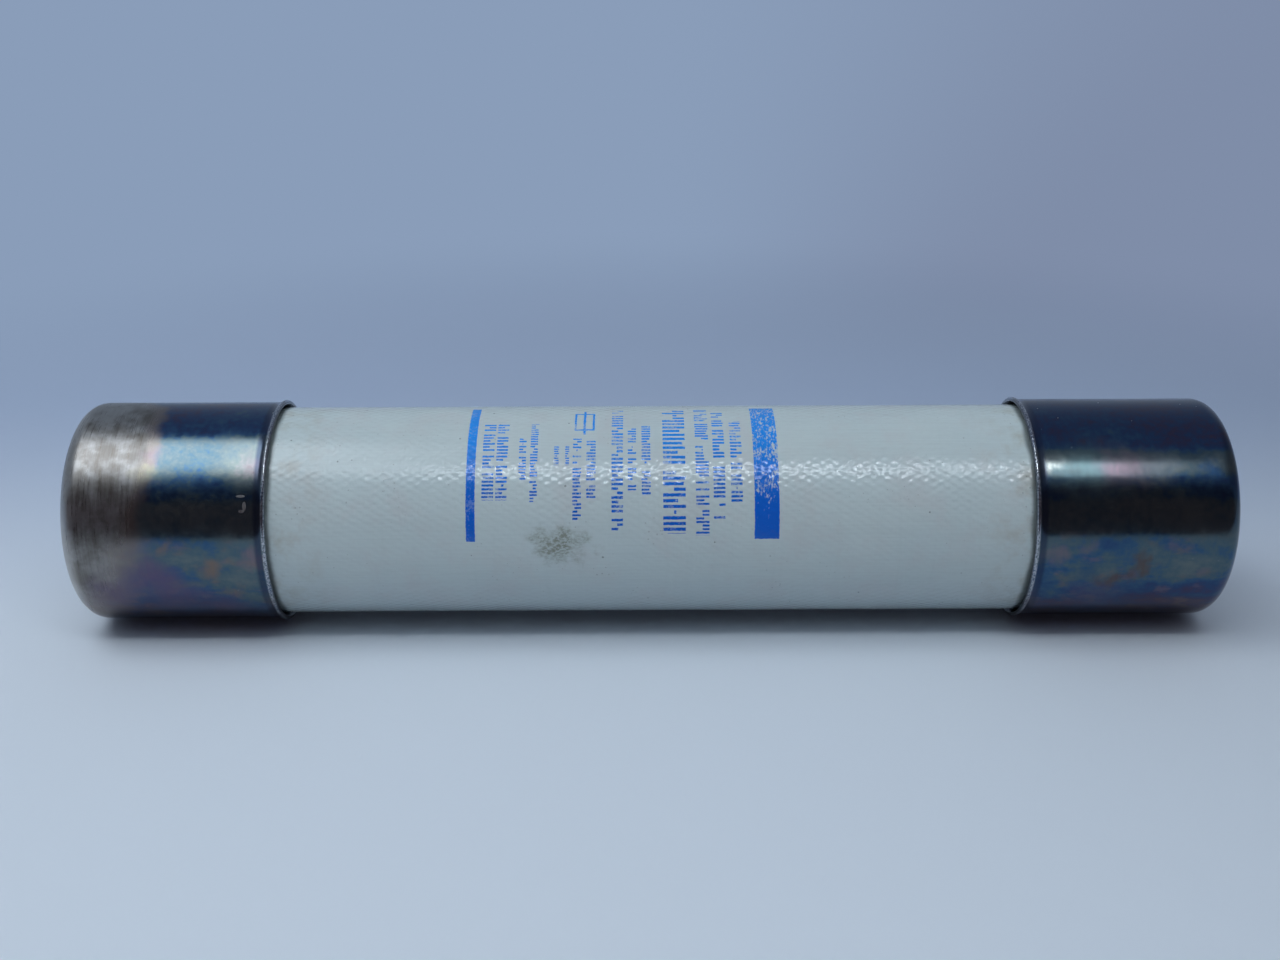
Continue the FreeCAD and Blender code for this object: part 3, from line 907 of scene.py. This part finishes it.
# %% Both ferrules' finishes
left_finish = tarnished(
    "left_tarnish", -1, worn_to=(13, 17), film_at=(0.42, 0.60, 0.55, 0.49, 0.24), top_from=58,
    depth=0.0, gloss=0.15,
    smears=((-167, -16, 11, violet, 0.8), (-160, -28, 11, violet, 0.7),
            (-180, -26, 10, violet, 0.6), (-145, -38, 8, violet, 0.6),
            (-184, -9, 7, warm_grey, 0.55), (-147, -11, 4.5, amber, 0.8),
            (-140, -25, 4.5, amber, 0.6), (-133, -4, 5, rose, 0.7), (-162, 4, 3.5, amber, 0.7),
            (-166, 50, 4.5, rose, 0.5), (-167, 39, 5, straw, 0.6), (-131, 44, 5, rose, 0.35)),
    scratches=((-135.3, 28.3, 1.5, 0.45), (-134.0, 23.3, 0.6, 1.5), (-134.9, 20.8, 0.9, 0.5)),
)
right_finish = tarnished(
    "right_tarnish", 1, worn_to=(-16, 0), film_at=(0.41, 0.62, 0.54, 0.46, 0.08), top_from=47,
    depth=0.28, gloss=0.125,
    smears=((144, 42, 13, cyan, 0.9), (131, 43, 5, cream, 0.9), (157, 42, 9, rose, 0.85),
            (168, 42, 7, pale_grey, 0.7), (134.5, -3, 4.5, rose, 0.55), (145, 0, 3.5, rose, 0.4),
            (163, -8, 3.5, rust, 0.9), (162, -14, 4, rust, 0.9), (156, -19, 4.5, rust, 0.9),
            (150, -18, 3.5, rust, 0.7), (141, -22, 3, amber, 0.4), (151, -30, 10, violet, 0.45),
            (146, -12, 5, deep_blue, 0.4), (186, 40, 4, deep_blue, 0.8)),
)
dress(left_cap, left_finish)
dress(right_cap, right_finish)
for finish in (left_finish, right_finish):
    print(finish.owner.name, "has", len(finish.tree.nodes), "nodes")

# %% [markdown]
# ## The hidden pieces
#
# Nobody sees these until the fuse is cut open, but each keeps its real finish: turned brass has
# rings about its axis, drawn wire has lines along it, sand has grains, and pressed fibre has
# flecks.

# %% Metals with a grain, and grainy solids
def grained_metal(name, bright, dull, grain, roughness):
    """A metal whose colour runs between dull and bright with noise, stretched by grain, which is
    (scale along the axis, scale across it) in waves to the millimetre."""
    recipe = new_recipe(name)
    point = place_of(recipe)[0]
    lines = recipe.noise(stretched(recipe, point, *grain), 1.0, 3, 0.6)
    cloud = recipe.noise(point, 0.15)
    recipe.shader(
        Base_Color=recipe.mix(recipe.rise(lines * 0.6 + cloud * 0.4, 0.35, 0.65), dull, bright),
        Metallic=1.0,
        Roughness=recipe.rise(lines, 0.3, 0.7, roughness - 0.07, roughness + 0.09),
        Normal=recipe.bump(lines, 0.02 * MM),
    )
    return recipe


def grainy(name, pale, dark, size, roughness, relief):
    """A matt solid of grains: cells of this size in millimetres, each with a shade of its own."""
    recipe = new_recipe(name)
    point = place_of(recipe)[0]
    cells = recipe.node("TexVoronoi", {}, {"Vector": point, "Scale": 1 / size})
    distance, own = cells.all_outputs()[:2]
    cloud = recipe.noise(point, 0.2 / size, 3)
    recipe.shader(
        Base_Color=recipe.mix(own * 0.6 + cloud * 0.4, dark, pale),
        Roughness=recipe.rise(cloud, 0.3, 0.7, roughness - 0.08, roughness + 0.05),
        Normal=recipe.bump(1 - distance, relief * MM),
    )
    return recipe


# %% Brasses, silver, tin and steel
# Each metal is (bright, dull, grain, roughness)
metals = {
    "turned_brass": ((0.80, 0.58, 0.28), (0.50, 0.34, 0.15), (3, 0.15), 0.28),
    "formed_brass": ((0.76, 0.56, 0.30), (0.42, 0.29, 0.15), (0.3, 0.3), 0.36),
    "pin_brass": ((0.82, 0.62, 0.32), (0.52, 0.38, 0.18), (5, 0.2), 0.24),
    "silver_strip": ((0.90, 0.89, 0.86), (0.62, 0.58, 0.52), (0.2, 1.5), 0.24),
    "tin_overlay": ((0.60, 0.60, 0.60), (0.36, 0.36, 0.37), (0.8, 0.8), 0.45),
    "spring_steel": ((0.40, 0.40, 0.42), (0.15, 0.14, 0.16), (0.5, 2.0), 0.34),
    "drawn_wire": ((0.55, 0.55, 0.58), (0.34, 0.33, 0.33), (0.05, 6.0), 0.30),
}
made = {name: grained_metal(name, *facts) for name, facts in metals.items()}
print("metals:", ", ".join(metals))

# %% Sand, ceramic, fibre and rubber
# Each mineral is (pale, dark, size of its grains, roughness, depth of its relief)
minerals = {
    "quartz_sand": ((0.80, 0.74, 0.62), (0.45, 0.38, 0.28), 0.5, 0.8, 0.15),
    "ceramic": ((0.80, 0.75, 0.66), (0.68, 0.62, 0.53), 0.3, 0.75, 0.02),
    "pressed_fibre": ((0.40, 0.18, 0.09), (0.16, 0.07, 0.04), 0.8, 0.7, 0.03),
    "gasket_rubber": ((0.06, 0.06, 0.06), (0.03, 0.03, 0.03), 0.2, 0.82, 0.02),
}
made |= {name: grainy(name, *facts) for name, facts in minerals.items()}
print("minerals:", ", ".join(minerals))

# %% A finish for each material of the record
slot_finishes = {
    "tube": cloth, "ferrule": left_finish, "end_plate": made["turned_brass"],
    "gasket": made["gasket_rubber"], "terminal": made["formed_brass"],
    "core": made["ceramic"], "sand": made["quartz_sand"], "sand_plug": made["pressed_fibre"],
    "element": made["silver_strip"], "overlay": made["tin_overlay"],
    "housing": made["turned_brass"], "pin": made["pin_brass"],
    "spring": made["spring_steel"], "wire": made["drawn_wire"],
}
for part in frame["record"]["subparts"]:
    dress(frame["nodes"][part["node"]], slot_finishes[part["material_slot"]])
dress(frame["nodes"]["right_ferrule"], right_finish)
dress(head, made["pin_brass"])

# %% [markdown]
# ## The floor
#
# The fuse lies on a plain pale floor, which keeps its shadow. Far away the floor fades into the
# colour of the background, so that no horizon shows from any side. The fade is a glow that only
# the camera and reflections see: it puts no light on the fuse. In front of the table the room is
# dark, so there the floor's reflections go dark too.

# %% Floor
def disc(radii, spokes, level):
    """A level disc: (r cos a, r sin a) on rings of these radii, and a fan inside the first."""
    turn = np.linspace(0, 2 * math.pi, spokes, endpoint=False)
    across, along = radii[:, None] * np.cos(turn), radii[:, None] * np.sin(turn)
    rings = np.stack((across, along, np.full_like(across, level)), axis=-1).reshape(-1, 3)
    ring = np.arange(len(radii) - 1)[:, None] * spokes
    here = np.arange(spokes)[None, :]
    beside = (here + 1) % spokes
    corners = (ring + here, ring + spokes + here, ring + spokes + beside, ring + beside)
    quads = np.stack(corners, axis=-1).reshape(-1, 4)
    fans = np.column_stack((np.full(spokes, len(rings)), here[0], beside[0]))
    return np.vstack((rings, [[0, 0, level]])), quads.tolist() + fans.tolist()


floor_radius = 9.0
floor_level = cad_box[0][2]
floor_places, floor_faces = disc(np.geomspace(0.2, floor_radius, 24), 96, floor_level)
floor = piece_of("floor", floor_places, floor_faces)
print("floor at z =", round(floor_level / MM, 1), "mm")

# %% Colours of the room and its light
background = linear(138, 157, 185)
background_right = linear(127, 141, 168)
dark_room = (0.076, 0.064, 0.078)
ambient = (0.235, 0.285, 0.36)
cool_white = (0.84, 0.92, 1.0)

# %% Floor finish
fade_from, fade_to = 260, 700


def floor_finish():
    """Pale paper near the fuse, darkened to the right by a painted shade, and a glow in the
    background's colour far from it.
    """
    paper = new_recipe("paper_floor")
    x, y = place_of(paper)[1:3]
    away = paper.math("SQRT", x * x + y * y)
    near_and_far = paper.mix(paper.rise(y, -80, 280), (0.70, 0.75, 0.80), (0.42, 0.50, 0.645))
    # Painted shade: the paper's colour is darkened by up to 12 percent towards the right.
    paper.shader(
        Base_Color=paper.mix(paper.rise(x, 0, 450, 0.0, 0.12), near_and_far, (0, 0, 0)),
        Roughness=0.7,
    )
    seen = paper.node("LightPath", output="Is Camera Ray")
    mirrored = paper.node("LightPath", output="Is Glossy Ray")
    in_front = paper.rise(y, -350, -255, 1.0, 0.0) * mirrored
    fade = (paper.rise(away, fade_from, fade_to) * (seen | mirrored)) | in_front
    backdrop = paper.mix(paper.rise(x / (away + 1), 0.0, 0.45), background, background_right)
    glow_colour = paper.mix(in_front, backdrop, dark_room)
    glow = paper.node("Emission", {}, {"Color": glow_colour, "Strength": 1.0})
    plain = Value(paper, paper.tree.nodes["Principled BSDF"].outputs[0])
    paper.surface(paper.node("MixShader", {}, {0: fade, 1: plain, 2: glow}))
    return paper


dress(floor, floor_finish())
print(f"the floor fades from {fade_from} to {fade_to} mm out")

# %% [markdown]
# ## The light
#
# Metal shows what is round it, so the light is laid out as the fuse should reflect it. A narrow
# bright strip in front and above draws the line along the tube, where the crowns of the weave
# break it into sparks. To the left it widens into a broad soft light, and to the right a short one
# shows in the right-hand ferrule. All three have soft edges, which an area lamp can't have, so they
# are one glowing sheet, bent about the fuse's axis, and clear where it doesn't glow. A weak area
# lamp overhead fills in, and reflections don't show it. Angles are about the fuse's axis, from 0
# in front to 90 overhead.

# %% The glowing sheet
sheet_distance = 1.2
sheet_x, sheet_angle = np.meshgrid(
    np.linspace(-0.95, 0.70, 12), np.radians(np.linspace(46, 101, 16)), indexing="ij")
sheet_places = np.stack((sheet_x, -sheet_distance * np.cos(sheet_angle),
                         sheet_distance * np.sin(sheet_angle)), axis=-1).reshape(-1, 3)
sheet_rows, sheet_columns = sheet_x.shape
first_corner = np.arange(sheet_rows - 1)[:, None] * sheet_columns + np.arange(sheet_columns - 1)
sheet_faces = first_corner.reshape(-1, 1) + [[0, sheet_columns, sheet_columns + 1, 1]]
sheet = piece_of("glowing_sheet", sheet_places, sheet_faces.tolist())
sheet.visible_camera = False
print("sheet of", len(sheet_faces), "faces")

# %% What glows on the sheet
def sheet_finish():
    """The strip, the broad light to the left of it and the short one to the right. Where two
    meet, the brighter counts."""
    shine = new_recipe("sheet_glow")
    x, y, z = place_of(shine)[1:]
    angle = angle_of(shine, y, z)
    strip = shine.rise(angle, 59.5, 61) * shine.rise(angle, 64, 65.5, 1.0, 0.0)
    strip = strip * shine.rise(x, 400, 440, 1.0, 0.0) * shine.rise(x, -420, -100)
    broad = shine.rise(angle, 50, 71) * shine.rise(x, -520, -90, 1.0, 0.0) * 0.29
    broad = broad * shine.rise(angle, 90, 101, 1.0, 0.5)
    short = shine.rise(angle, 50.5, 54) * shine.rise(angle, 64.5, 70.5, 1.0, 0.0)
    short = short * shine.rise(x, 400, 440) * shine.rise(x, 490, 650, 1.0, 0.0) * 0.2
    glow = shine.node("Emission", {}, {"Color": cool_white, "Strength": 14.0})
    clear = shine.node("BsdfTransparent")
    shine.surface(shine.node("MixShader", {}, {0: strip | broad | short, 1: clear, 2: glow}))
    return shine


dress(sheet, sheet_finish())

# %% A weak lamp that fills in
fill = bpy.data.lights.new("fill", "AREA")
fill.shape = "DISK"
fill.size = 1.2
fill.energy = 1.6
fill.color = cool_white
fill_lamp = bpy.data.objects.new("fill", fill)
fill_lamp.location = (0, -0.61, 1.15)
fill_lamp.rotation_euler = (math.radians(28), 0, 0)
fill_lamp.visible_camera = False
fill_lamp.visible_glossy = False
scene.collection.objects.link(fill_lamp)
print("fill of", round(fill.energy, 1), "W")

# %% The room
def light_room(world):
    """The camera sees the background's colour, and everything else a pale blue light. That is
    darker to the right, and in front, where the photographer stands, up to about 45 degrees."""
    room = Recipe(world)
    direction = room.node("TexCoord", output="Generated")
    to_right, away, upward = room.node("SeparateXYZ", {}, {0: direction}).all_outputs()
    ahead = away * -1
    elevation = room.math("ARCTAN2", upward, ahead) * (180 / math.pi)
    dark_front = room.rise(elevation, -12, 2) * room.rise(elevation, 38, 52, 1.0, 0.0)
    dark_front = dark_front * room.rise(ahead, 0.1, 0.45)
    lit = room.mix(dark_front, ambient, dark_room)
    lit = room.mix(room.rise(to_right, 0.45, 0.85, 0.0, 0.6), lit, dark_room)
    backdrop = room.mix(room.rise(to_right, 0.0, 0.45), background, background_right)
    seen = room.node("LightPath", output="Is Camera Ray")
    room.feed(room.tree.nodes["Background"].inputs["Color"], room.mix(seen, lit, backdrop))


scene.world = bpy.data.worlds.new("room")
light_room(scene.world)

# %% [markdown]
# ## The camera
#
# The photograph was taken from the front, about 21 degrees above the fuse and half a metre away.
# The lens follows from how much the fuse's far edges shrink with distance.

# %% Camera
camera_place = (-4.5, -491.4, 195.3)
yaw, pitch, roll = math.radians(-0.12), math.radians(20.6), math.radians(-0.2)
focal_pixels, image_width = 1489.5, 1280
turned_to = Matrix.Identity(4)
for turn, turn_axis in ((yaw, "Z"), (math.pi / 2 - pitch, "X"), (roll, "Z")):
    turned_to = turned_to @ Matrix.Rotation(turn, 4, turn_axis)
camera = bpy.data.cameras.new("camera")
camera.sensor_width = 36
camera.lens = camera.sensor_width * focal_pixels / image_width
eye = bpy.data.objects.new("camera", camera)
eye.matrix_world = Matrix.Translation(Vector(camera_place) * MM) @ turned_to
scene.collection.objects.link(eye)
scene.camera = eye
scene.view_settings.view_transform = "Standard"
print("lens", round(camera.lens, 2), "mm")
